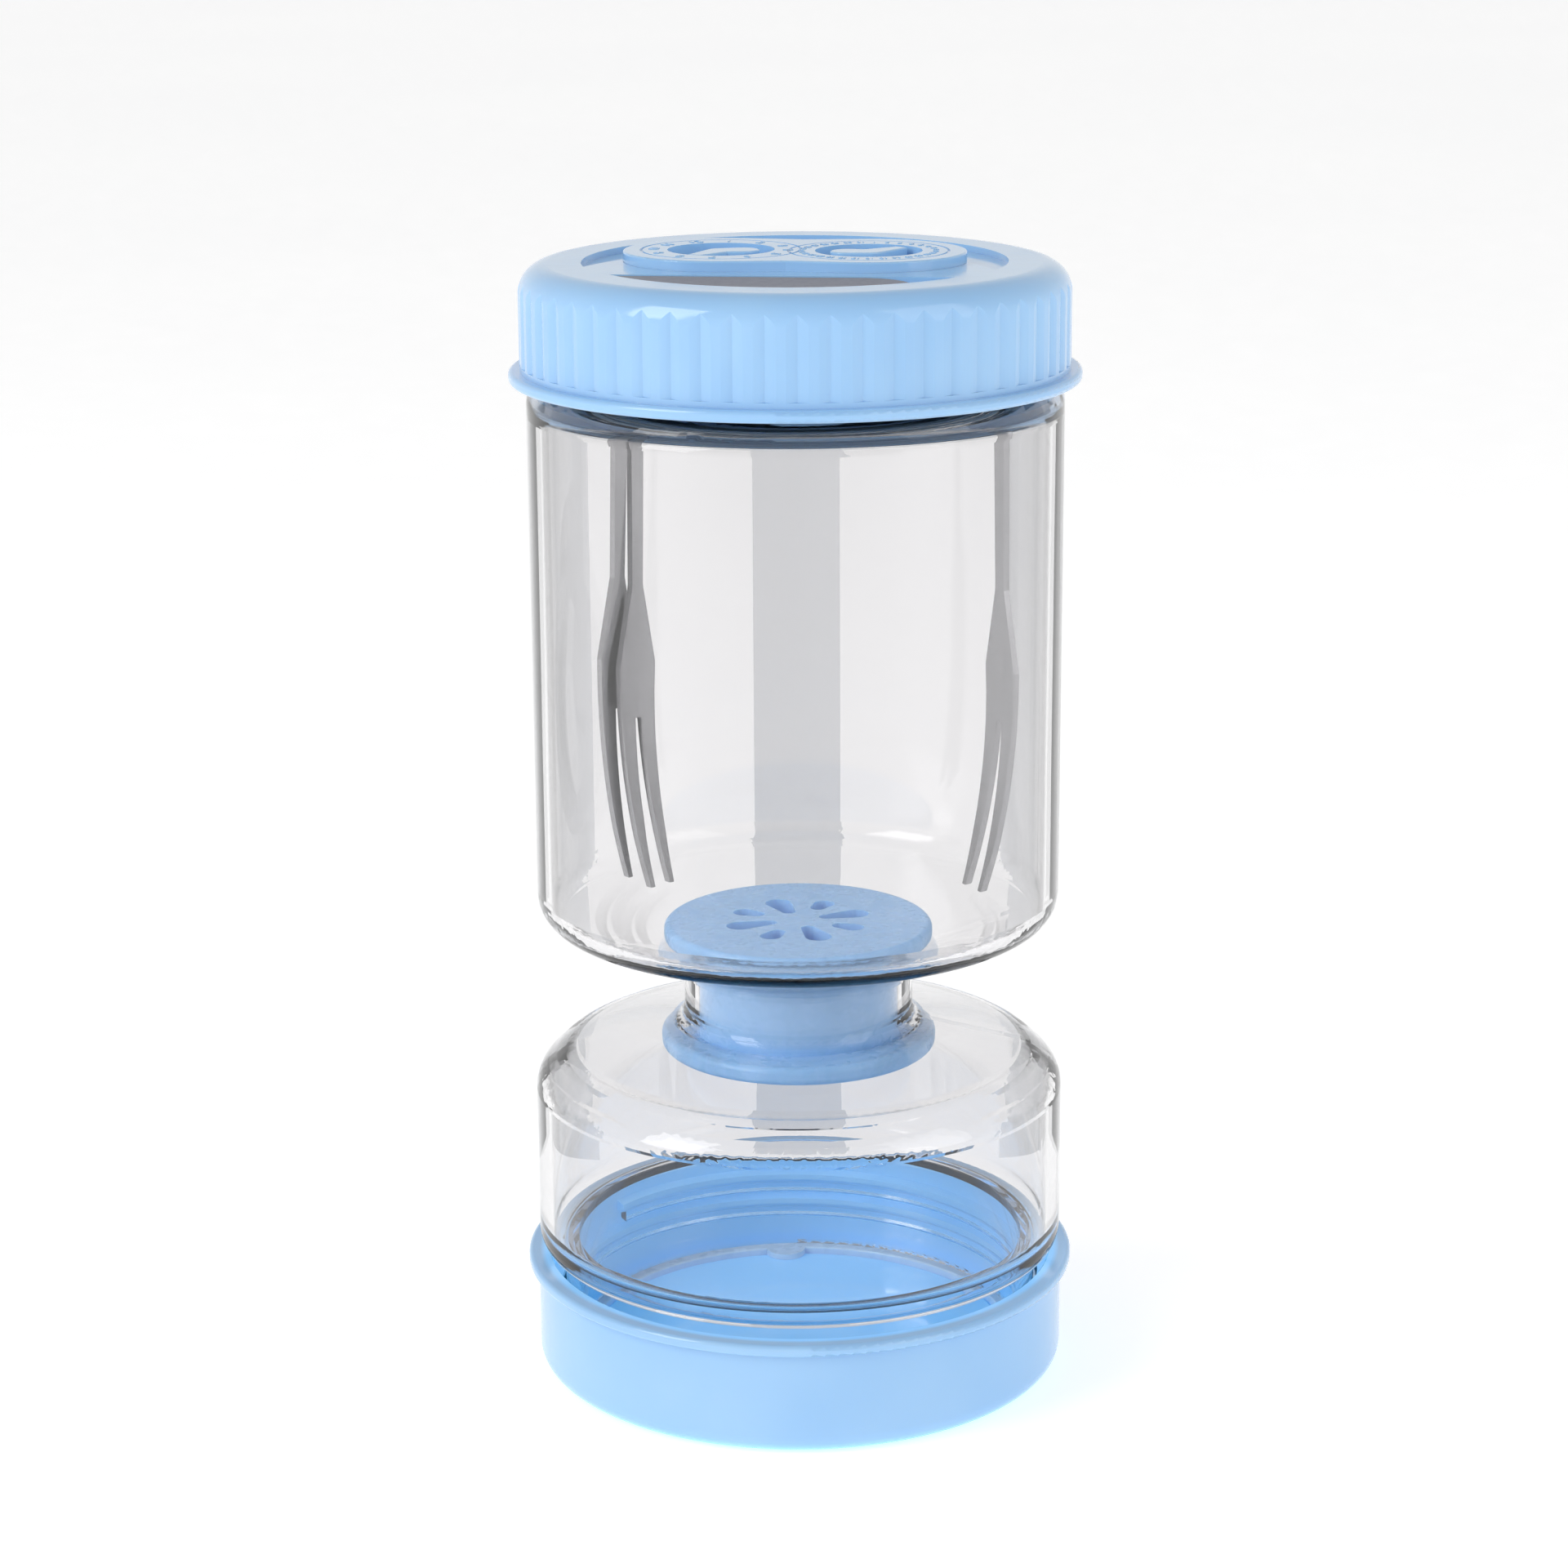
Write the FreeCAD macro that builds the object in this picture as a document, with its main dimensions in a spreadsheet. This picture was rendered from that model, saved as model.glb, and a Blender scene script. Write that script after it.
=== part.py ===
import FreeCAD, Part
import math
import os

import Sketcher

# A double-ended brine jar: a glass hourglass with a soft strainer plug in its waist, a screw cap
# that it stands on, a ribbed screw lid with two date dials, and three small two-tine forks inside.
# Millimetres, +Z up. The origin is the centre of the base cap's foot, on the table. -Y is the front.

SIZES = {
    # glass: each chamber's wall, the two threaded mouths, the waist, and the sloping floors
    "upper_wall_radius": 47.0, "lower_wall_radius": 47.9, "glass_wall": 2.5,
    "mouth_radius": 43.3, "waist_radius": 20.7, "lower_mouth": 4.3, "upper_mouth": 197.8,
    "lower_shoulder": 22.6, "lower_neck_inside": 25.2,
    "upper_shoulder": 181.9, "upper_neck_inside": 179.3,
    "dome_edge_radius": 42.5, "dome_edge": 60.4, "dome_corner": 55.6, "dome_waist": 65.6,
    "dome_inner_edge_radius": 40.9, "dome_inner_edge": 58.2, "dome_inner_corner": 54.2,
    "dome_inner_waist": 63.6, "funnel_corner": 85.6, "funnel_waist": 76.1,
    "funnel_inner_corner": 87.3, "funnel_inner_waist": 77.9,
    "corner_round": 6.0, "waist_round": 3.0, "shoulder_round": 3.6, "dome_round": 9.0,
    "inner_round": 3.5, "rim_round": 0.9,
    # screw threads, outside the glass and inside the caps
    "thread_pitch": 5.0, "thread_turns": 1.4, "thread_root": 1.1, "thread_tip": 0.5,
    "glass_thread_height": 1.5, "cap_thread_height": 2.0, "thread_bite": 0.3,
    "lower_glass_thread": 9.6, "lower_cap_thread": 11.3,
    "upper_glass_thread": 186.4, "upper_cap_thread": 184.7,
    # base cap
    "flange_radius": 50.0, "flange_thickness": 2.1, "cap_bore": 46.0, "cap_flange": 19.2,
    "cap_skirt_radius": 48.2, "cap_round": 3.6, "foot_radius": 38.0, "foot_recess": 0.5,
    "seat_radius": 39.2, "cap_seat": 2.5, "cap_floor": 3.1, "edge_round": 0.8, "small_round": 0.3,
    # ribbed lid
    "lid_flange": 182.1, "lid_skirt_radius": 48.0, "lid_top": 202.5, "lid_round": 5.0,
    "lid_seat": 199.3, "lid_ceiling": 198.9, "rib_start": 185.2, "rib_depth": 0.45,
    "rib_half_width": 2.3, "rib_round": 8.3, "rib_count": 56, "lid_turn": -6.0,
    "recess_radius": 37.0, "recess_depth": 1.1, "crescent_shift": 22.8,
    # grey label in the recess at the front of the lid
    "label_recess_radius": 36.2, "label_recess_chord": 21.4, "label_recess_depth": 0.9,
    "label_radius": 36.0, "label_chord": 21.6, "label_thickness": 0.7, "label_end": 13.5,
    "label_end_round": 9.0,
    # date dials and their pointers
    "dial_offset": 12.85, "dial_radius": 17.0, "dial_waist": 15.5, "dial_thickness": 2.9,
    "dial_gap": 0.12, "well_radius": 9.3, "well_depth": 1.9, "groove_radius": 13.6,
    "groove_width": 0.5, "groove_depth": 0.25, "stem_bore": 1.55, "stem_radius": 1.5,
    "head_radius": 2.0, "head_bore": 2.5, "head_room": 1.2, "head_bottom": 200.4,
    "head_top": 201.3, "pointer_bottom": 202.45, "pointer_top": 204.2, "hub_radius": 2.6,
    "knob_reach": 3.7, "knob_radius": 3.0, "arm_reach": 8.2, "arm_half_width": 1.3,
    # seals
    "seal_inner_radius": 39.5, "seal_outer_radius": 43.6, "tab_radius": 3.8,
    "base_seal_bottom": 2.55, "base_seal_top": 4.25, "base_tab_bottom": 3.15,
    "lid_seal_bottom": 197.85, "lid_seal_top": 199.25, "lid_tab_top": 198.85,
    # strainer plug
    "disc_radius": 24.3, "disc_top": 83.5, "disc_bottom": 80.15, "sleeve_radius": 18.0,
    "sleeve_bore": 15.6, "plug_flange_radius": 24.6, "plug_flange": 61.9,
    "plug_bottom": 58.6, "plug_round": 1.2,
    "petal_near": 5.4, "petal_near_radius": 1.3, "petal_far": 11.1, "petal_far_radius": 2.4,
    "bud_near": 8.3, "bud_near_radius": 1.4, "bud_far": 11.0, "bud_far_radius": 2.0,
    # forks, from the tips of the tines up
    "fork_length": 111.0, "half_thickness": 0.7, "bend_height": 36.0, "bend_radius": 107.0,
    "bend_offset": 6.2, "handle_lean": 1.6, "tine_tip_near": 1.9, "tine_tip_far": 2.9,
    "tine_half_width": 3.5, "tine_knee": 9.0, "blade_half_width": 4.4, "blade_height": 41.0,
    "neck_height": 56.0, "handle_half_width": 1.3, "handle_end_half_width": 1.7,
    "slit_half_width": 0.8, "slit_height": 31.0, "frame_half_width": 8.0, "frame_margin": 3.0,
}

PLUG_TURN = 19.0            # where one large petal hole lies, anticlockwise from +X
PETALS = 4                  # large petal holes, with as many small ones between them
TAB_TURN = 94.0             # where the seals' pull tabs lie
DAY_ARM_TURN = 44.0         # where each pointer's arm lies
MONTH_ARM_TURN = 236.0
KNOB_TURN = 130.0           # from a pointer's arm round to its knob

# Each fork stands on its tines: where the tips stand, which way they curve from the handle, and
# how far the handle leans that way and to the side, in degrees.
FORKS = {
    "fork_left_front": ((-26.0, 20.6, 84.3), -45.0, 0.0, 0.0),
    "fork_left_back": ((-30.4, 22.6, 85.8), -45.0, 2.9, 1.4),
    "fork_right": ((33.0, 13.8, 85.4), 213.0, 2.0, -3.0),
}

LID_FLANGE_TOP = "lid_flange + flange_thickness"
CAP_FLANGE_TOP = "cap_flange + flange_thickness"
DIAL_SEAT = "lid_top - recess_depth"
DIAL_TOP = "lid_top - recess_depth + dial_thickness"

doc = FreeCAD.newDocument("brine_jar")
sheet = doc.addObject("Spreadsheet::Sheet", "Sizes")
for row, (alias, number) in enumerate(SIZES.items(), start=1):
    sheet.set(f"A{row}", alias)
    sheet.set(f"B{row}", str(number))
    sheet.setAlias(f"B{row}", alias)
doc.recompute()


def value(total):
    """The number that a sum of named sizes, such as "lid_top - well_depth", comes to."""
    result, sign = 0.0, 1
    for word in total.split():
        if word in ("+", "-"):
            sign = 1 if word == "+" else -1
        else:
            result += sign * (SIZES[word] if word in SIZES else float(word))
    return result


def bind(thing, name, total):
    """Ties one property of an object to a sum of named sizes."""
    words = ["Sizes." + word if word in SIZES else word for word in total.split()]
    thing.setExpression(name, " ".join(words))


def minus(size):
    return f"0 - {size}"


# ---------------------------------------------------------------- sketches

def new_body(name):
    body = doc.addObject("PartDesign::Body", name)
    body.Label = name
    return body


def origin_item(body, role):
    return next(item for item in body.Origin.OriginFeatures if item.Role == role)


def new_sketch(body, name, plane="XY_Plane", height="0", turn=0.0):
    """A sketch on one of the body's own origin planes, lifted along its normal and turned."""
    sketch = body.newObject("Sketcher::SketchObject", f"{body.Name}_{name}")
    sketch.AttachmentSupport = (origin_item(body, plane), [""])
    sketch.MapMode = "FlatFace"
    lift = FreeCAD.Vector(0, 0, value(height))
    sketch.AttachmentOffset = FreeCAD.Placement(lift, FreeCAD.Rotation(turn, 0, 0))
    if height != "0":
        bind(sketch, "AttachmentOffset.Base.z", height)
    return sketch


def vector(across, up):
    return FreeCAD.Vector(across, up, 0)


def place(across, up):
    return vector(value(across), value(up))


def constrain(sketch, total, kind, *rest):
    """Adds a dimension to a sketch and ties it to a sum of named sizes."""
    index = sketch.addConstraint(Sketcher.Constraint(kind, *rest, value(total)))
    bind(sketch, f"Constraints[{index}]", total)


def pin(sketch, curve, point, across=None, up=None):
    """Fixes one point of a sketch at a distance across, up or both."""
    for kind, axis, total in (("DistanceX", -2, across), ("DistanceY", -1, up)):
        if total == "0":
            sketch.addConstraint(Sketcher.Constraint("PointOnObject", curve, point, axis))
        elif total is not None:
            constrain(sketch, total, kind, -1, 1, curve, point)


def join(sketch, first, first_point, second, second_point, kind="Coincident"):
    sketch.addConstraint(Sketcher.Constraint(kind, first, first_point, second, second_point))


def draw_line(sketch, start, end):
    return sketch.addGeometry(Part.LineSegment(start, end))


def draw_arc(sketch, centre, radius, start, end):
    """An anticlockwise arc between two angles in radians, tied to its radius."""
    circle = Part.Circle(centre, FreeCAD.Vector(0, 0, 1), value(radius))
    curve = sketch.addGeometry(Part.ArcOfCircle(circle, start, end))
    constrain(sketch, radius, "Radius", curve)
    return curve


def draw_circle(sketch, across, up, radius):
    circle = Part.Circle(place(across, up), FreeCAD.Vector(0, 0, 1), value(radius))
    curve = sketch.addGeometry(circle)
    pin(sketch, curve, 3, across, up)
    constrain(sketch, radius, "Radius", curve)


def draw_polygon(sketch, corners):
    """A closed outline of straight lines, with every corner tied to the sheet."""
    points = [place(*corner) for corner in corners]
    lines = [draw_line(sketch, start, end) for start, end in zip(points, points[1:] + points[:1])]
    for line, following, corner in zip(lines, lines[1:] + lines[:1], corners):
        join(sketch, line, 2, following, 1)
        pin(sketch, line, 1, *corner)


def draw_teardrop(sketch, near, near_radius, far, far_radius):
    """Two round ends on the sketch's own X axis, joined by the lines that touch them both."""
    spread = math.acos((value(near_radius) - value(far_radius)) / (value(far) - value(near)))
    near_end = draw_arc(sketch, place(near, "0"), near_radius, spread, 2 * math.pi - spread)
    far_end = draw_arc(sketch, place(far, "0"), far_radius, -spread, spread)
    pin(sketch, near_end, 3, near, "0")
    pin(sketch, far_end, 3, far, "0")
    for side, near_point, far_point in ((1, 1, 2), (-1, 2, 1)):
        out = vector(math.cos(spread), side * math.sin(spread))
        start = place(near, "0") + out * value(near_radius)
        end = place(far, "0") + out * value(far_radius)
        line = draw_line(sketch, start, end)
        join(sketch, near_end, near_point, line, 1, "Tangent")
        join(sketch, far_end, far_point, line, 2, "Tangent")


# ---------------------------------------------------------------- features

def pad(body, sketch, length):
    """Raises a sketch along its normal."""
    feature = body.newObject("PartDesign::Pad", f"{sketch.Name}_pad")
    feature.Profile = sketch
    bind(feature, "Length", length)
    doc.recompute()
    return feature


def pocket(body, sketch, depth, upward=False):
    """Cuts a sketch out of the body, against its normal unless told otherwise."""
    before = body.Tip.Shape.Volume
    feature = body.newObject("PartDesign::Pocket", f"{sketch.Name}_cut")
    feature.Profile = sketch
    feature.Reversed = upward
    bind(feature, "Length", depth)
    doc.recompute()
    if feature.Shape.Volume >= before:
        raise RuntimeError(f"{feature.Name} cuts nothing")
    return feature


def repeat_round_axis(body, feature, count):
    """Copies a feature round the body's Z axis."""
    pattern = body.newObject("PartDesign::PolarPattern", f"{feature.Name}_ring")
    pattern.Originals = [feature]
    pattern.Axis = (origin_item(body, "Z_Axis"), [""])
    pattern.Angle = 360
    pattern.Occurrences = count
    body.Tip = pattern
    doc.recompute()


def round_edges(body, radius, wanted):
    """Rounds every edge of the body that a test picks out."""
    base = body.Tip
    edges = base.Shape.Edges
    names = [f"Edge{number}" for number, edge in enumerate(edges, start=1) if wanted(edge)]
    if not names:
        raise RuntimeError(f"{body.Name} has no edge to round by {radius}")
    feature = body.newObject("PartDesign::Fillet", f"{base.Name}_rounded")
    feature.Base = (base, names)
    bind(feature, "Radius", radius)
    doc.recompute()


def ring_place(edge):
    """The radius and height of a circle about Z, or None for any other edge."""
    if not isinstance(edge.Curve, Part.Circle):
        return None
    centre = edge.Curve.Center
    if math.hypot(centre.x, centre.y) > 0.001:
        return None
    return round(edge.Curve.Radius, 3), round(centre.z, 3)


def is_level_at(edge, height):
    """Whether an edge lies flat at a height."""
    box = edge.BoundBox
    return box.ZLength < 0.001 and abs(box.ZMin - value(height)) < 0.001


def turned_body(name, outline):
    """A body of revolution about Z. A corner of the outline is its radius and height, with the
    radius of its rounding as a third entry where it has one."""
    body = new_body(name)
    sketch = new_sketch(body, "outline", "XZ_Plane")
    draw_polygon(sketch, [corner[:2] for corner in outline])
    turn = body.newObject("PartDesign::Revolution", f"{name}_turned")
    turn.Profile = sketch
    turn.ReferenceAxis = (sketch, ["V_Axis"])
    turn.Angle = 360
    doc.recompute()
    rounded = {}
    for radius, height, *rounding in outline:
        if rounding:
            corner = (round(value(radius), 3), round(value(height), 3))
            rounded.setdefault(rounding[0], set()).add(corner)
    for rounding, corners in rounded.items():
        round_edges(body, rounding, lambda edge: ring_place(edge) in corners)
    return body


def add_thread(body, name, root, crest, height):
    """A screw ridge from a root radius, just inside its wall, to its crest radius."""
    sketch = new_sketch(body, name, "XZ_Plane")
    draw_polygon(sketch, [
        (root, f"{height} - thread_root"),
        (root, f"{height} + thread_root"),
        (crest, f"{height} + thread_tip"),
        (crest, f"{height} - thread_tip"),
    ])
    ridge = body.newObject("PartDesign::AdditiveHelix", f"{sketch.Name}_ridge")
    ridge.Profile = sketch
    ridge.ReferenceAxis = (sketch, ["V_Axis"])
    ridge.Mode = "pitch-turns-angle"
    bind(ridge, "Pitch", "thread_pitch")
    bind(ridge, "Turns", "thread_turns")
    doc.recompute()


# ---------------------------------------------------------------- glass, plug and seals

def make_glass_jar():
    """The one-piece hourglass, from its lower mouth up the outside and down the inside."""
    outline = [
        ("mouth_radius", "lower_mouth", "rim_round"),
        ("mouth_radius", "lower_shoulder"),
        ("lower_wall_radius", "lower_shoulder", "shoulder_round"),
        ("lower_wall_radius", "dome_corner", "corner_round"),
        ("dome_edge_radius", "dome_edge", "dome_round"),
        ("waist_radius", "dome_waist", "waist_round"),
        ("waist_radius", "funnel_waist", "waist_round"),
        ("upper_wall_radius", "funnel_corner", "corner_round"),
        ("upper_wall_radius", "upper_shoulder", "shoulder_round"),
        ("mouth_radius", "upper_shoulder"),
        ("mouth_radius", "upper_mouth", "rim_round"),
        ("mouth_radius - glass_wall", "upper_mouth", "rim_round"),
        ("mouth_radius - glass_wall", "upper_neck_inside"),
        ("upper_wall_radius - glass_wall", "upper_neck_inside", "inner_round"),
        ("upper_wall_radius - glass_wall", "funnel_inner_corner", "inner_round"),
        ("waist_radius - glass_wall", "funnel_inner_waist", "inner_round"),
        ("waist_radius - glass_wall", "dome_inner_waist", "inner_round"),
        ("dome_inner_edge_radius", "dome_inner_edge", "inner_round"),
        ("lower_wall_radius - glass_wall", "dome_inner_corner", "inner_round"),
        ("lower_wall_radius - glass_wall", "lower_neck_inside", "inner_round"),
        ("mouth_radius - glass_wall", "lower_neck_inside"),
        ("mouth_radius - glass_wall", "lower_mouth", "rim_round"),
    ]
    body = turned_body("glass_jar", outline)
    root, crest = "mouth_radius - thread_bite", "mouth_radius + glass_thread_height"
    add_thread(body, "lower_thread", root, crest, "lower_glass_thread")
    add_thread(body, "upper_thread", root, crest, "upper_glass_thread")


def make_strainer_plug():
    """A soft spool: a pierced disc on the funnel's floor, a sleeve through the waist and a flange
    below it."""
    outline = [
        ("0", "disc_bottom"),
        ("sleeve_bore", "disc_bottom"),
        ("sleeve_bore", "plug_bottom"),
        ("plug_flange_radius", "plug_bottom", "plug_round"),
        ("plug_flange_radius", "plug_flange", "plug_round"),
        ("sleeve_radius", "plug_flange"),
        ("sleeve_radius", "disc_bottom"),
        ("disc_radius", "disc_bottom", "plug_round"),
        ("disc_radius", "disc_top", "plug_round"),
        ("0", "disc_top"),
    ]
    body = turned_body("strainer_plug", outline)
    petal = new_sketch(body, "petal", height="disc_top")
    draw_teardrop(petal, "petal_near", "petal_near_radius", "petal_far", "petal_far_radius")
    repeat_round_axis(body, pocket(body, petal, "disc_top - disc_bottom + 1"), PETALS)
    bud = new_sketch(body, "bud", height="disc_top", turn=180 / PETALS)
    draw_teardrop(bud, "bud_near", "bud_near_radius", "bud_far", "bud_far_radius")
    repeat_round_axis(body, pocket(body, bud, "disc_top - disc_bottom + 1"), PETALS)
    body.Placement.Rotation = FreeCAD.Rotation(PLUG_TURN, 0, 0)


def make_seal(name, bottom, top, tab_bottom, tab_top):
    """A soft ring that a glass mouth presses on, with a round pull tab that points inward."""
    outline = [
        ("seal_inner_radius", bottom, "small_round"),
        ("seal_outer_radius", bottom, "small_round"),
        ("seal_outer_radius", top, "small_round"),
        ("seal_inner_radius", top, "small_round"),
    ]
    body = turned_body(name, outline)
    tab = new_sketch(body, "tab", height=tab_bottom)
    draw_circle(tab, "seal_inner_radius", "0", "tab_radius")
    pad(body, tab, f"{tab_top} - {tab_bottom}")
    body.Placement.Rotation = FreeCAD.Rotation(TAB_TURN, 0, 0)


# ---------------------------------------------------------------- caps

def make_base_cap():
    outline = [
        ("0", "foot_recess"),
        ("foot_radius", "foot_recess"),
        ("foot_radius", "0", "small_round"),
        ("cap_skirt_radius", "0", "cap_round"),
        ("cap_skirt_radius", "cap_flange"),
        ("flange_radius", "cap_flange", "edge_round"),
        ("flange_radius", CAP_FLANGE_TOP, "edge_round"),
        ("cap_bore", CAP_FLANGE_TOP, "small_round"),
        ("cap_bore", "cap_seat"),
        ("seat_radius", "cap_seat"),
        ("seat_radius", "cap_floor", "small_round"),
        ("0", "cap_floor"),
    ]
    body = turned_body("base_cap", outline)
    crest = "cap_bore - cap_thread_height"
    add_thread(body, "thread", "cap_bore + thread_bite", crest, "lower_cap_thread")


def cut_rib_valleys(body):
    """Valleys between convex ribs, which fade out where the lid's top edge is rounded."""
    sketch = new_sketch(body, "valley", height="rib_start")
    deep, outside = "lid_skirt_radius - rib_depth", "lid_skirt_radius + 1"
    radius, half = value("rib_round"), value("rib_half_width")
    bottom, top = place(deep, "0"), place("lid_skirt_radius", "rib_half_width")
    middle, chord = (bottom + top) * 0.5, top - bottom
    inward = vector(-chord.y, chord.x).normalize()
    centre = middle + inward * math.sqrt(radius ** 2 - (chord.Length / 2) ** 2)
    start = math.atan2(bottom.y - centre.y, bottom.x - centre.x)
    end = math.atan2(top.y - centre.y, top.x - centre.x)
    upper = draw_arc(sketch, centre, "rib_round", start, end)
    lower = draw_arc(sketch, vector(centre.x, -centre.y), "rib_round", -end, -start)
    rise = draw_line(sketch, top, place(outside, "0"))
    fall = draw_line(sketch, place(outside, "0"), vector(top.x, -half))
    join(sketch, upper, 1, lower, 2)
    join(sketch, upper, 2, rise, 1)
    join(sketch, rise, 2, fall, 1)
    join(sketch, fall, 2, lower, 1)
    pin(sketch, upper, 1, deep, "0")
    pin(sketch, rise, 1, "lid_skirt_radius", "rib_half_width")
    pin(sketch, rise, 2, outside, "0")
    pin(sketch, fall, 2, "lid_skirt_radius", minus("rib_half_width"))
    valley = pocket(body, sketch, "lid_top - rib_start", upward=True)
    repeat_round_axis(body, valley, int(value("rib_count")))


def draw_crescent(sketch):
    """The moon between a circle about the axis and an equal one shifted to the front."""
    dip = math.asin(value("crescent_shift") / 2 / value("recess_radius"))
    outer = draw_arc(sketch, vector(0, 0), "recess_radius", -dip, math.pi + dip)
    centre = place("0", minus("crescent_shift"))
    inner = draw_arc(sketch, centre, "recess_radius", dip, math.pi - dip)
    pin(sketch, outer, 3, "0", "0")
    pin(sketch, inner, 3, "0", minus("crescent_shift"))
    join(sketch, outer, 1, inner, 1)
    join(sketch, outer, 2, inner, 2)


def draw_label_recess(sketch):
    """The part of a disc in front of a chord."""
    radius, chord = value("label_recess_radius"), value("label_recess_chord")
    dip, half = math.asin(chord / radius), math.sqrt(radius ** 2 - chord ** 2)
    rim = draw_arc(sketch, vector(0, 0), "label_recess_radius", math.pi + dip, 2 * math.pi - dip)
    back = draw_line(sketch, vector(half, -chord), vector(-half, -chord))
    pin(sketch, rim, 3, "0", "0")
    join(sketch, rim, 2, back, 1)
    join(sketch, rim, 1, back, 2)
    pin(sketch, back, 1, None, minus("label_recess_chord"))
    pin(sketch, back, 2, None, minus("label_recess_chord"))


def draw_dial_outline(sketch, radius, waist):
    """Two round lobes whose straight sides lean in to a shallow waist between them."""
    offset, size, middle = value("dial_offset"), value(radius), value(waist)
    spread = math.atan2(middle, -offset) - math.acos(size / math.hypot(offset, middle))
    right = draw_arc(sketch, vector(offset, 0), radius, -spread, spread)
    left = draw_arc(sketch, vector(-offset, 0), radius, math.pi - spread, math.pi + spread)
    pin(sketch, right, 3, "dial_offset", "0")
    pin(sketch, left, 3, minus("dial_offset"), "0")
    for up, right_point, left_point, height in ((1, 2, 1, waist), (-1, 1, 2, minus(waist))):
        touch = vector(offset + size * math.cos(spread), up * size * math.sin(spread))
        right_side = draw_line(sketch, touch, vector(0, up * middle))
        left_side = draw_line(sketch, vector(-touch.x, touch.y), vector(0, up * middle))
        join(sketch, right, right_point, right_side, 1, "Tangent")
        join(sketch, left, left_point, left_side, 1, "Tangent")
        join(sketch, right_side, 2, left_side, 2)
        pin(sketch, right_side, 2, "0", height)


def make_ribbed_lid():
    outline = [
        ("0", "lid_ceiling"),
        ("seat_radius", "lid_ceiling", "small_round"),
        ("seat_radius", "lid_seat"),
        ("cap_bore", "lid_seat"),
        ("cap_bore", "lid_flange", "small_round"),
        ("flange_radius", "lid_flange", "edge_round"),
        ("flange_radius", LID_FLANGE_TOP, "edge_round"),
        ("lid_skirt_radius", LID_FLANGE_TOP),
        ("lid_skirt_radius", "lid_top", "lid_round"),
        ("0", "lid_top"),
    ]
    body = turned_body("ribbed_lid", outline)
    cut_rib_valleys(body)
    crescent = new_sketch(body, "crescent", height="lid_top")
    draw_crescent(crescent)
    pocket(body, crescent, "recess_depth")
    label = new_sketch(body, "label_recess", height="lid_top")
    draw_label_recess(label)
    pocket(body, label, "label_recess_depth")
    seat = new_sketch(body, "dial_seat", height="lid_top")
    draw_dial_outline(seat, "dial_radius + dial_gap", "dial_waist + dial_gap")
    pocket(body, seat, "recess_depth")
    for name, side in (("month", minus("dial_offset")), ("day", "dial_offset")):
        room = new_sketch(body, f"{name}_stem_room", height=DIAL_SEAT)
        draw_circle(room, side, "0", "head_bore")
        pocket(body, room, "head_room")
    crest = "cap_bore - cap_thread_height"
    add_thread(body, "thread", "cap_bore + thread_bite", crest, "upper_cap_thread")
    body.Placement.Rotation = FreeCAD.Rotation(value("lid_turn"), 0, 0)


# ---------------------------------------------------------------- dials, pointers and label

def make_dial_plate():
    """The figure-of-eight plate, with a round well and a number ring for each pointer."""
    body = new_body("dial_plate")
    plate = new_sketch(body, "outline", height=DIAL_SEAT)
    draw_dial_outline(plate, "dial_radius", "dial_waist")
    pad(body, plate, "dial_thickness")
    round_edges(body, "small_round", lambda edge: is_level_at(edge, DIAL_TOP))
    for name, side in (("month", minus("dial_offset")), ("day", "dial_offset")):
        well = new_sketch(body, f"{name}_well", height=DIAL_TOP)
        draw_circle(well, side, "0", "well_radius")
        pocket(body, well, "well_depth")
        bore = new_sketch(body, f"{name}_bore", height=DIAL_TOP)
        draw_circle(bore, side, "0", "stem_bore")
        pocket(body, bore, "dial_thickness")
        groove = new_sketch(body, f"{name}_groove", height=DIAL_TOP)
        draw_circle(groove, side, "0", "groove_radius")
        draw_circle(groove, side, "0", "groove_radius + groove_width")
        pocket(body, groove, "groove_depth")
    body.Placement.Rotation = FreeCAD.Rotation(value("lid_turn"), 0, 0)


def make_pointer(name, side, arm_turn):
    """A turning pointer: a tapered arm, a round knob, and a stem with a snap head under the plate.
    Its own origin is its pivot, and its arm lies along its X axis."""
    outline = [
        ("0", "head_bottom"),
        ("head_radius", "head_bottom", "small_round"),
        ("head_radius", "head_top"),
        ("stem_radius", "head_top"),
        ("stem_radius", "pointer_bottom"),
        ("hub_radius", "pointer_bottom"),
        ("hub_radius", "pointer_top"),
        ("0", "pointer_top"),
    ]
    body = turned_body(name, outline)
    arm = new_sketch(body, "arm", height="pointer_bottom")
    draw_polygon(arm, [
        ("0", minus("hub_radius")),
        ("arm_reach", minus("arm_half_width")),
        ("arm_reach", "arm_half_width"),
        ("0", "hub_radius"),
    ])
    pad(body, arm, "pointer_top - pointer_bottom")
    knob = new_sketch(body, "knob", height="pointer_bottom", turn=KNOB_TURN)
    draw_teardrop(knob, "0", "hub_radius", "knob_reach", "knob_radius")
    pad(body, knob, "pointer_top - pointer_bottom")
    round_edges(body, "small_round", lambda edge: is_level_at(edge, "pointer_top"))
    centre = FreeCAD.Rotation(value("lid_turn"), 0, 0).multVec(place(side, "0"))
    body.Placement = FreeCAD.Placement(centre, FreeCAD.Rotation(arm_turn, 0, 0))


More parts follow.
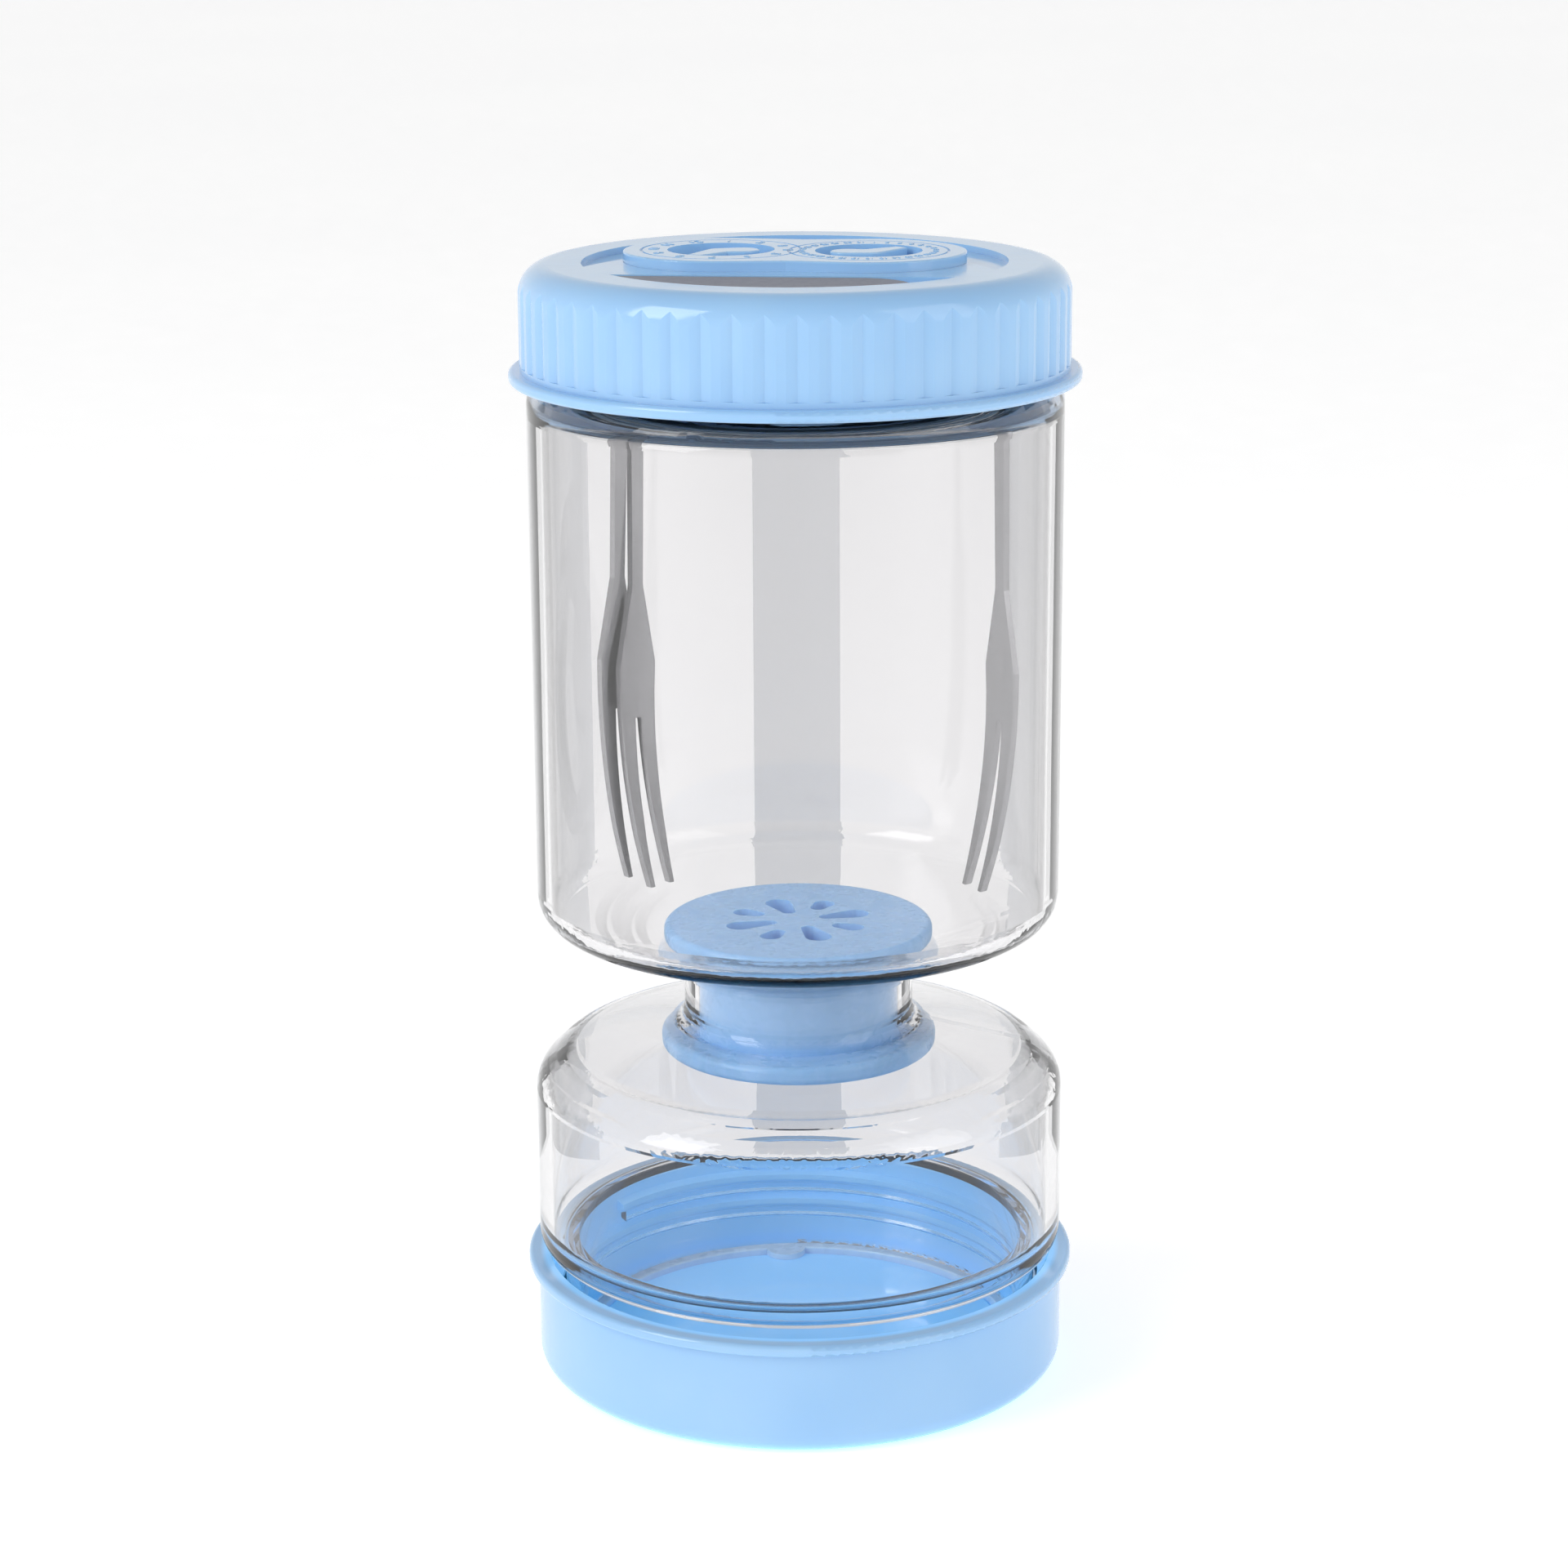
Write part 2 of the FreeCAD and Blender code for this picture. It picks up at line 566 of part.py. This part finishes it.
def make_front_label():
    """The thin grey label, which stops in a round end short of the recess's right corner."""
    body = new_body("front_label")
    sketch = new_sketch(body, "outline", height="lid_top - label_recess_depth")
    radius, chord = value("label_radius"), value("label_chord")
    end, bend = value("label_end"), value("label_end_round")
    centre = vector(end, -chord - bend)
    reach = centre.Length
    along = (reach ** 2 + radius ** 2 - bend ** 2) / (2 * reach)
    aside = math.sqrt(radius ** 2 - along ** 2)
    forward = centre * (1 / reach)
    corner = forward * along + vector(-forward.y, forward.x) * aside
    dip = math.asin(chord / radius)
    corner_turn = math.atan2(corner.y, corner.x) + 2 * math.pi
    rim = draw_arc(sketch, vector(0, 0), "label_radius", math.pi + dip, corner_turn)
    bend_turn = math.atan2(corner.y - centre.y, corner.x - centre.x)
    curve = draw_arc(sketch, centre, "label_end_round", bend_turn, math.pi / 2)
    back = draw_line(sketch, vector(end, -chord), vector(-math.sqrt(radius ** 2 - chord ** 2), -chord))
    pin(sketch, rim, 3, "0", "0")
    pin(sketch, back, 2, None, minus("label_chord"))
    pin(sketch, back, 1, "label_end", minus("label_chord"))
    join(sketch, rim, 1, back, 2)
    join(sketch, rim, 2, curve, 1)
    join(sketch, curve, 2, back, 1, "Tangent")
    pad(body, sketch, "label_thickness")
    body.Placement.Rotation = FreeCAD.Rotation(value("lid_turn"), 0, 0)


# ---------------------------------------------------------------- forks

def draw_fork_side(sketch):
    """A thin strip that rises from the tips, which curve to +X, and leans back at the handle."""
    centre = place("bend_radius - bend_offset", "bend_height")
    rear_radius = "bend_radius + half_thickness"
    front_radius = "bend_radius - half_thickness"
    feet = {radius: math.asin(centre.y / value(radius)) for radius in (rear_radius, front_radius)}
    rear = draw_arc(sketch, centre, rear_radius, math.pi, math.pi + feet[rear_radius])
    front = draw_arc(sketch, centre, front_radius, math.pi, math.pi + feet[front_radius])
    for curve in (rear, front):
        pin(sketch, curve, 3, "bend_radius - bend_offset", "bend_height")
        pin(sketch, curve, 1, None, "bend_height")
        pin(sketch, curve, 2, None, "0")
    ends = {}
    for curve, edge in ((rear, minus("half_thickness")), (front, "half_thickness")):
        start = place(f"{edge} - bend_offset", "bend_height")
        end = place(f"{edge} - bend_offset + handle_lean", "fork_length")
        ends[curve] = draw_line(sketch, start, end)
        join(sketch, curve, 1, ends[curve], 1)
        pin(sketch, ends[curve], 2, f"{edge} - bend_offset + handle_lean", "fork_length")
    top = draw_line(sketch, sketch.getPoint(ends[rear], 2), sketch.getPoint(ends[front], 2))
    foot = draw_line(sketch, sketch.getPoint(front, 2), sketch.getPoint(rear, 2))
    join(sketch, top, 1, ends[rear], 2)
    join(sketch, top, 2, ends[front], 2)
    join(sketch, foot, 1, front, 2)
    join(sketch, foot, 2, rear, 2)


def draw_fork_front(sketch):
    """A frame round the fork's front outline, for cutting away all that lies outside it."""
    right = [
        ("tine_tip_near", "0"),
        ("tine_tip_far", "0"),
        ("tine_half_width", "tine_knee"),
        ("blade_half_width", "blade_height"),
        ("handle_half_width", "neck_height"),
        ("handle_end_half_width", "fork_length"),
    ]
    left = [(minus(across), up) for across, up in reversed(right)]
    slit = [(minus("slit_half_width"), "slit_height"), ("slit_half_width", "slit_height")]
    draw_polygon(sketch, right + left + slit)
    above = "fork_length + frame_margin"
    below = minus("frame_margin")
    draw_polygon(sketch, [
        (minus("frame_half_width"), below),
        ("frame_half_width", below),
        ("frame_half_width", above),
        (minus("frame_half_width"), above),
    ])


def make_fork(name, foot, turn, lean_in, lean_aside):
    body = new_body(name)
    side = new_sketch(body, "side", "XZ_Plane")
    draw_fork_side(side)
    strip = pad(body, side, "blade_half_width + blade_half_width")
    strip.Midplane = True
    doc.recompute()
    front = new_sketch(body, "front", "YZ_Plane", height="bend_radius")
    draw_fork_front(front)
    pocket(body, front, "bend_radius + bend_radius")
    stance = FreeCAD.Rotation(turn, lean_in, lean_aside)
    body.Placement = FreeCAD.Placement(FreeCAD.Vector(*foot), stance)


# ---------------------------------------------------------------- build, check and write

def build_all():
    make_glass_jar()
    make_strainer_plug()
    make_base_cap()
    make_ribbed_lid()
    make_dial_plate()
    make_front_label()
    make_pointer("month_pointer", minus("dial_offset"), MONTH_ARM_TURN)
    make_pointer("day_pointer", "dial_offset", DAY_ARM_TURN)
    make_seal("base_seal", "base_seal_bottom", "base_seal_top", "base_tab_bottom", "base_seal_top")
    make_seal("lid_seal", "lid_seal_bottom", "lid_seal_top", "lid_seal_bottom", "lid_tab_top")
    for name, stance in FORKS.items():
        make_fork(name, *stance)
    doc.recompute()


def check_all(bodies):
    for item in doc.Objects:
        if "Invalid" in item.State or "Error" in item.State:
            raise RuntimeError(f"{item.Name} failed: {item.State}")
    for body in bodies:
        if body.Shape.isNull() or not body.Shape.isValid():
            raise RuntimeError(f"{body.Label} has no valid shape")
        if len(body.Shape.Solids) != 1:
            raise RuntimeError(f"{body.Label} is {len(body.Shape.Solids)} solids")


def write_all(bodies):
    os.makedirs("parts", exist_ok=True)
    for body in bodies:
        body.Shape.exportStep(f"parts/{body.Label}.step")
        box = body.Shape.BoundBox
        print(f"{body.Label:18} {body.Shape.Volume / 1000:8.2f} cm3  z {box.ZMin:.2f} to {box.ZMax:.2f}")


build_all()
all_bodies = [item for item in doc.Objects if item.TypeId == "PartDesign::Body"]
check_all(all_bodies)
write_all(all_bodies)
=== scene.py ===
"""The looks of the brine draining jar: clear glass, glossy light blue plastic, milky silicone,
steel forks, a grey label and raised date numbers, on a pale floor in soft studio light.

Metres, in the CAD frame: +Z up, -Y the front, the origin under the middle of the base cap.
"""

import math

import bmesh
import bpy
from mathutils import Matrix, Vector


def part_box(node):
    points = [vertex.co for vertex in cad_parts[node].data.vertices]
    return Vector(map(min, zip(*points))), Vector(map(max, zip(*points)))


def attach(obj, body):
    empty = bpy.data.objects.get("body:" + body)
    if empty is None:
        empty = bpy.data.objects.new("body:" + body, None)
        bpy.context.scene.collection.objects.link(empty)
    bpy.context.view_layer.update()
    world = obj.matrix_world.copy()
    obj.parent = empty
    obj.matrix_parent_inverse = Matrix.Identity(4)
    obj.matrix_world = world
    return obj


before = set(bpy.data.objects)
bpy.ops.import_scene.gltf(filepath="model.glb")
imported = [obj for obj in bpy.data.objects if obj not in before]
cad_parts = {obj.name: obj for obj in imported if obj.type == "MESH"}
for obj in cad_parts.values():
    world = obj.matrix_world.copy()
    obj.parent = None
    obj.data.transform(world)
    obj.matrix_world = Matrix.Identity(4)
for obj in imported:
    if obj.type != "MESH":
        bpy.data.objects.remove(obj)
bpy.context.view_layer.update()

MM = 0.001

# camera: in front of the jar, a little above its lid, looking down at it
CAMERA_DISTANCE = 0.6567
CAMERA_HEIGHT = 0.2834
CAMERA_PITCH = math.radians(14.9)
CAMERA_ROLL = -0.005
CAMERA_LENS = 86.93
CAMERA_SENSOR = 36
CAMERA_SHIFT = -0.00856

# date dials
LID_TURN = math.radians(-6.0)
DIAL_OFFSET = 12.85 * MM
NUMBER_RADIUS = 11.6 * MM
NUMBER_DEPTH = 0.12 * MM
MONTH_NUMBER_HEIGHT = 1.9 * MM
DAY_NUMBER_HEIGHT = 1.1 * MM
DIGIT_SHARE = 0.72          # of a font's size that a digit's height takes up
MONTHS = 12
DAYS = 31

# studio: the light panels face a point on the jar's axis, and the cards stand behind the jar
FLOOR_RADIUS = 30
LIGHT_TARGET = (0, 0, 0.1)
HORIZON_STRENGTH = 0.95
ZENITH_STRENGTH = 0.3
FLAG_DISTANCE = 0.1
FLAG_HEIGHT = 0.2
FLAGS = {                   # left edge, right edge, and the shade at each
    "left_flag": (-0.104, -0.076, (0.02, 0.06)),
    "left_grey": (-0.076, -0.050, (0.40, 0.85)),
    "middle_grey": (-0.0095, 0.0095, (0.80, 0.82)),
    "right_grey": (0.050, 0.076, (0.85, 0.40)),
    "right_flag": (0.076, 0.104, (0.06, 0.02)),
}

# colours
BLUE = (0.35, 0.585, 0.86)
DEEP_BLUE = (0.31, 0.545, 0.84)
# painted light: the colour of the glow painted on the base cap's inner faces
PAINTED_GLOW_BLUE = (0.03, 0.42, 0.90)
SOFT_BLUE = (0.33, 0.57, 0.89)
SOFT_DEEP_BLUE = (0.30, 0.54, 0.86)
MILKY = (0.50, 0.70, 0.90)
DEEP_MILKY = (0.45, 0.66, 0.87)
GLASS_TINT = (0.885, 0.88, 0.885)
STEEL = (0.38, 0.38, 0.39)
BRIGHT_STEEL = (0.41, 0.41, 0.42)
LABEL_GREY = (0.25, 0.26, 0.31)
LIGHT_LABEL_GREY = (0.29, 0.30, 0.35)
FLOOR_WHITE = (0.92, 0.92, 0.925)
BRIGHT_WHITE = (0.94, 0.94, 0.94)

PAINTED_GLOW_RADIUS = 47 * MM       # the base cap's faces nearer its axis than this get a painted glow


# ---------------------------------------------------------------- material helpers

class Surface:
    """A Principled material with short calls for the procedural detail that it carries."""

    def __init__(self, name, **values):
        self.material = bpy.data.materials.new(name)
        self.material.use_nodes = True
        self.tree = self.material.node_tree
        self.shader = self.tree.nodes["Principled BSDF"]
        for label, value in values.items():
            self.shader.inputs[label.replace("_", " ")].default_value = value

    def link(self, source, target):
        self.tree.links.new(source, target)

    def coordinates(self, stretch=(1, 1, 1)):
        place = self.tree.nodes.new("ShaderNodeTexCoord")
        scale = self.tree.nodes.new("ShaderNodeMapping")
        scale.inputs["Scale"].default_value = stretch
        self.link(place.outputs["Object"], scale.inputs["Vector"])
        return scale.outputs["Vector"]

    def noise(self, size, detail=3.0, stretch=(1, 1, 1)):
        """Noise with features of a size in metres. A stretch below 1 draws them out."""
        texture = self.tree.nodes.new("ShaderNodeTexNoise")
        texture.inputs["Scale"].default_value = 1 / size
        texture.inputs["Detail"].default_value = detail
        self.link(self.coordinates(stretch), texture.inputs["Vector"])
        return texture.outputs["Fac"]

    def spread(self, factor, low, high, start=0.35, end=0.65):
        """A number that runs from low to high as the factor goes from start to end."""
        ramp = self.tree.nodes.new("ShaderNodeMapRange")
        for label, value in (("From Min", start), ("From Max", end), ("To Min", low), ("To Max", high)):
            ramp.inputs[label].default_value = value
        self.link(factor, ramp.inputs["Value"])
        return ramp.outputs["Result"]

    def colour(self, factor, first, second):
        """Blends the base colour between two colours."""
        mix = self.tree.nodes.new("ShaderNodeMix")
        mix.data_type = "RGBA"
        blend, first_colour, second_colour, result = (
            mix.inputs[0], mix.inputs[6], mix.inputs[7], mix.outputs[2])
        first_colour.default_value = (*first, 1)
        second_colour.default_value = (*second, 1)
        self.link(self.spread(factor, 0, 1), blend)
        self.link(result, self.shader.inputs["Base Color"])

    def roughness(self, factor, low, high):
        self.link(self.spread(factor, low, high), self.shader.inputs["Roughness"])

    def bump(self, *layers):
        """Raises the surface by each layer's noise in turn. A layer is its factor and height."""
        normal = None
        for factor, height in layers:
            bump = self.tree.nodes.new("ShaderNodeBump")
            bump.inputs["Distance"].default_value = height
            self.link(factor, bump.inputs["Height"])
            if normal is not None:
                self.link(normal, bump.inputs["Normal"])
            normal = bump.outputs["Normal"]
        self.link(normal, self.shader.inputs["Normal"])

    def glow_inside(self, radius, colour, strength):
        """Painted light: an emission on the faces nearer the Z axis than a radius, standing in for
        light that comes through the wall.
        """
        flat = self.tree.nodes.new("ShaderNodeVectorMath")
        flat.operation = "LENGTH"
        self.link(self.coordinates((1, 1, 0)), flat.inputs[0])
        inside = self.spread(flat.outputs["Value"], strength, 0, radius, radius + MM)
        self.shader.inputs["Emission Color"].default_value = (*colour, 1)
        self.link(inside, self.shader.inputs["Emission Strength"])

    def cover(self, *nodes):
        """Gives the material to CAD nodes in place of their own."""
        for node in nodes:
            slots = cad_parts[node].data.materials
            slots.clear()
            slots.append(self.material)


def blue_plastic(name):
    """Glossy moulded polypropylene, with faint flow marks and a slightly uneven gloss."""
    surface = Surface(name, IOR=1.49, Coat_Weight=0.25, Coat_Roughness=0.05,
                      Subsurface_Weight=0.15, Subsurface_Scale=1.5 * MM)
    surface.shader.inputs["Subsurface Radius"].default_value = (0.4, 0.75, 1.0)
    surface.colour(surface.noise(30 * MM, 2), BLUE, DEEP_BLUE)
    surface.roughness(surface.noise(6 * MM, 4), 0.09, 0.16)
    surface.bump((surface.noise(14 * MM, 1), 0.03 * MM), (surface.noise(0.35 * MM, 2), 0.001 * MM))
    return surface


def silicone(name, shade, deep, weight):
    """Soft silicone: light scatters inside it, and its skin is satin with a fine grain."""
    surface = Surface(name, IOR=1.41, Subsurface_Weight=weight, Subsurface_Scale=1.5 * MM)
    surface.shader.inputs["Subsurface Radius"].default_value = (0.5, 0.8, 1.0)
    surface.colour(surface.noise(9 * MM, 3), shade, deep)
    surface.roughness(surface.noise(3 * MM, 4), 0.22, 0.36)
    surface.bump((surface.noise(0.4 * MM, 3), 0.004 * MM))
    return surface


def clear_glass():
    """Clear blown glass with slow waves in its walls and a trace of haze."""
    surface = Surface("clear_glass", IOR=1.47, Transmission_Weight=1.0)
    surface.shader.inputs["Base Color"].default_value = (*GLASS_TINT, 1)
    surface.roughness(surface.noise(25 * MM, 2), 0.0, 0.012)
    surface.bump((surface.noise(28 * MM, 1, (1, 1, 0.4)), 0.05 * MM))
    return surface


def fork_steel():
    """Stamped stainless steel, polished along its length."""
    surface = Surface("fork_steel", Metallic=1.0)
    surface.colour(surface.noise(1.2 * MM, 3, (1, 1, 0.08)), STEEL, BRIGHT_STEEL)
    surface.roughness(surface.noise(0.5 * MM, 3, (1, 1, 0.05)), 0.18, 0.24)
    surface.bump((surface.noise(0.3 * MM, 2, (1, 1, 0.04)), 0.001 * MM))
    return surface


def label_grey():
    """Matte printed film with a fine grain."""
    surface = Surface("label_grey", IOR=1.45, Specular_IOR_Level=0.25)
    surface.colour(surface.noise(0.5 * MM, 4), LABEL_GREY, LIGHT_LABEL_GREY)
    surface.roughness(surface.noise(2 * MM, 3), 0.55, 0.70)
    surface.bump((surface.noise(0.25 * MM, 3), 0.006 * MM))
    return surface


def floor_white():
    """Pale paper that is lit a little from below, so that the jar casts almost no shadow."""
    surface = Surface("floor_white", Emission_Strength=0.42)
    surface.shader.inputs["Emission Color"].default_value = (1, 1, 1, 1)
    surface.colour(surface.noise(0.4, 2), FLOOR_WHITE, BRIGHT_WHITE)
    surface.roughness(surface.noise(0.02, 3), 0.45, 0.6)
    return surface


# ---------------------------------------------------------------- raised date numbers

def number_mesh(text, height):
    """One number as a thin solid, centred on the origin and lying in the XY plane."""
    curve = bpy.data.curves.new("number", "FONT")
    curve.body = text
    curve.size = height / DIGIT_SHARE
    curve.align_x = "CENTER"
    curve.align_y = "CENTER"
    curve.extrude = NUMBER_DEPTH / 2
    curve.resolution_u = 3
    letter = bpy.data.objects.new("number", curve)
    bpy.context.collection.objects.link(letter)
    bpy.context.view_layer.update()
    mesh = bpy.data.meshes.new_from_object(letter)
    bpy.data.objects.remove(letter)
    return mesh


def number_ring(name, side, count, height, surface):
    """Numbers from 1 up, clockwise round a dial, with their feet towards its middle."""
    across = Vector((math.cos(LID_TURN), math.sin(LID_TURN), 0))
    centre = across * side * DIAL_OFFSET        # side is -1 for the left dial and 1 for the right
    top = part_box("dial_plate")[1][2]
    first_turn = LID_TURN + math.pi / 2
    ring = bmesh.new()
    for number in range(1, count + 1):
        turn = first_turn - math.tau * (number - 1) / count
        mesh = number_mesh(str(number), height)
        spot = Vector((math.cos(turn), math.sin(turn), 0)) * NUMBER_RADIUS + centre
        spot.z = top + NUMBER_DEPTH / 2
        mesh.transform(Matrix.Translation(spot) @ Matrix.Rotation(turn - math.pi / 2, 4, "Z"))
        ring.from_mesh(mesh)
        bpy.data.meshes.remove(mesh)
    mesh = bpy.data.meshes.new(name)
    ring.to_mesh(mesh)
    ring.free()
    mesh.materials.append(surface.material)
    piece = bpy.data.objects.new(name, mesh)
    bpy.context.collection.objects.link(piece)
    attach(piece, "lid")


# ---------------------------------------------------------------- studio

def add_floor(surface):
    mesh = bpy.data.meshes.new("floor")
    shape = bmesh.new()
    bmesh.ops.create_circle(shape, cap_ends=True, radius=FLOOR_RADIUS, segments=96)
    shape.to_mesh(mesh)
    shape.free()
    mesh.materials.append(surface.material)
    floor = bpy.data.objects.new("floor", mesh)
    bpy.context.collection.objects.link(floor)


def add_panel(name, place, width, height, power):
    """A soft rectangular light that faces the jar."""
    light = bpy.data.lights.new(name, "AREA")
    light.shape = "RECTANGLE"
    light.size = width
    light.size_y = height
    light.energy = power
    panel = bpy.data.objects.new(name, light)
    panel.location = place
    aim = Vector(LIGHT_TARGET) - Vector(place)
    panel.rotation_euler = aim.to_track_quat("-Z", "Y").to_euler()
    bpy.context.collection.objects.link(panel)


def add_flag(name, left, right, shades):
    """An upright card behind the jar, seen only through the glass, which draws the glass's edges.

    It is shaded evenly across, from the first shade at its left edge to the second at its right.
    """
    mesh = bpy.data.meshes.new(name)
    corners = [(left, 0), (right, 0), (right, FLAG_HEIGHT), (left, FLAG_HEIGHT)]
    mesh.from_pydata([Vector((x, FLAG_DISTANCE, z)) for x, z in corners], [], [(0, 1, 2, 3)])
    card = Surface(name, Roughness=1.0)
    parts = card.tree.nodes.new("ShaderNodeSeparateXYZ")
    card.link(card.coordinates(), parts.inputs["Vector"])
    card.link(card.spread(parts.outputs["X"], *shades, left, right), card.shader.inputs["Base Color"])
    mesh.materials.append(card.material)
    flag = bpy.data.objects.new(name, mesh)
    flag.visible_camera = False
    flag.visible_diffuse = False
    flag.visible_glossy = False
    flag.visible_shadow = False
    bpy.context.collection.objects.link(flag)


def add_world():
    """An even white sky that grows dimmer from the horizon up."""
    world = bpy.data.worlds.new("studio")
    world.use_nodes = True
    tree = world.node_tree
    direction = tree.nodes.new("ShaderNodeTexCoord")
    parts = tree.nodes.new("ShaderNodeSeparateXYZ")
    ramp = tree.nodes.new("ShaderNodeMapRange")
    ramp.inputs["To Min"].default_value = HORIZON_STRENGTH
    ramp.inputs["To Max"].default_value = ZENITH_STRENGTH
    background = tree.nodes["Background"]
    background.inputs["Color"].default_value = (1.0, 1.0, 1.0, 1)
    tree.links.new(direction.outputs["Generated"], parts.inputs["Vector"])
    tree.links.new(parts.outputs["Z"], ramp.inputs["Value"])
    tree.links.new(ramp.outputs["Result"], background.inputs["Strength"])
    bpy.context.scene.world = world


def add_camera():
    lens = bpy.data.cameras.new("camera")
    lens.lens = CAMERA_LENS
    lens.sensor_width = CAMERA_SENSOR
    lens.shift_x = CAMERA_SHIFT
    camera = bpy.data.objects.new("camera", lens)
    camera.location = (0, -CAMERA_DISTANCE, CAMERA_HEIGHT)
    look = Matrix.Rotation(math.pi / 2 - CAMERA_PITCH, 4, "X") @ Matrix.Rotation(CAMERA_ROLL, 4, "Z")
    camera.rotation_euler = look.to_euler()
    bpy.context.collection.objects.link(camera)
    bpy.context.scene.camera = camera


# ---------------------------------------------------------------- put together

caps = blue_plastic("blue_plastic")
caps.cover("ribbed_lid", "dial_plate", "month_pointer", "day_pointer")
base = blue_plastic("blue_base_plastic_painted_glow")
# painted glow: the base cap's inner faces give off blue light, standing in for light through its wall
base.glow_inside(PAINTED_GLOW_RADIUS, PAINTED_GLOW_BLUE, 0.35)
base.cover("base_cap")
silicone("blue_silicone", SOFT_BLUE, SOFT_DEEP_BLUE, 0.3).cover("strainer_plug")
silicone("milky_silicone", MILKY, DEEP_MILKY, 0.2).cover("base_seal", "lid_seal")
clear_glass().cover("glass_jar")
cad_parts["glass_jar"].visible_shadow = False    # light from the panels passes through
fork_steel().cover("fork_left_front", "fork_left_back", "fork_right")
label_grey().cover("front_label")
number_ring("month_numbers", -1, MONTHS, MONTH_NUMBER_HEIGHT, caps)
number_ring("day_numbers", 1, DAYS, DAY_NUMBER_HEIGHT, caps)

add_floor(floor_white())
add_world()
add_panel("key", (-1.0, -0.6, 0.8), 0.6, 0.9, 7)
add_panel("fill", (1.1, -0.6, 0.7), 0.8, 1.2, 4)
for name, (left, right, shades) in FLAGS.items():
    add_flag(name, left, right, shades)
add_camera()
bpy.context.scene.view_settings.view_transform = "Standard"
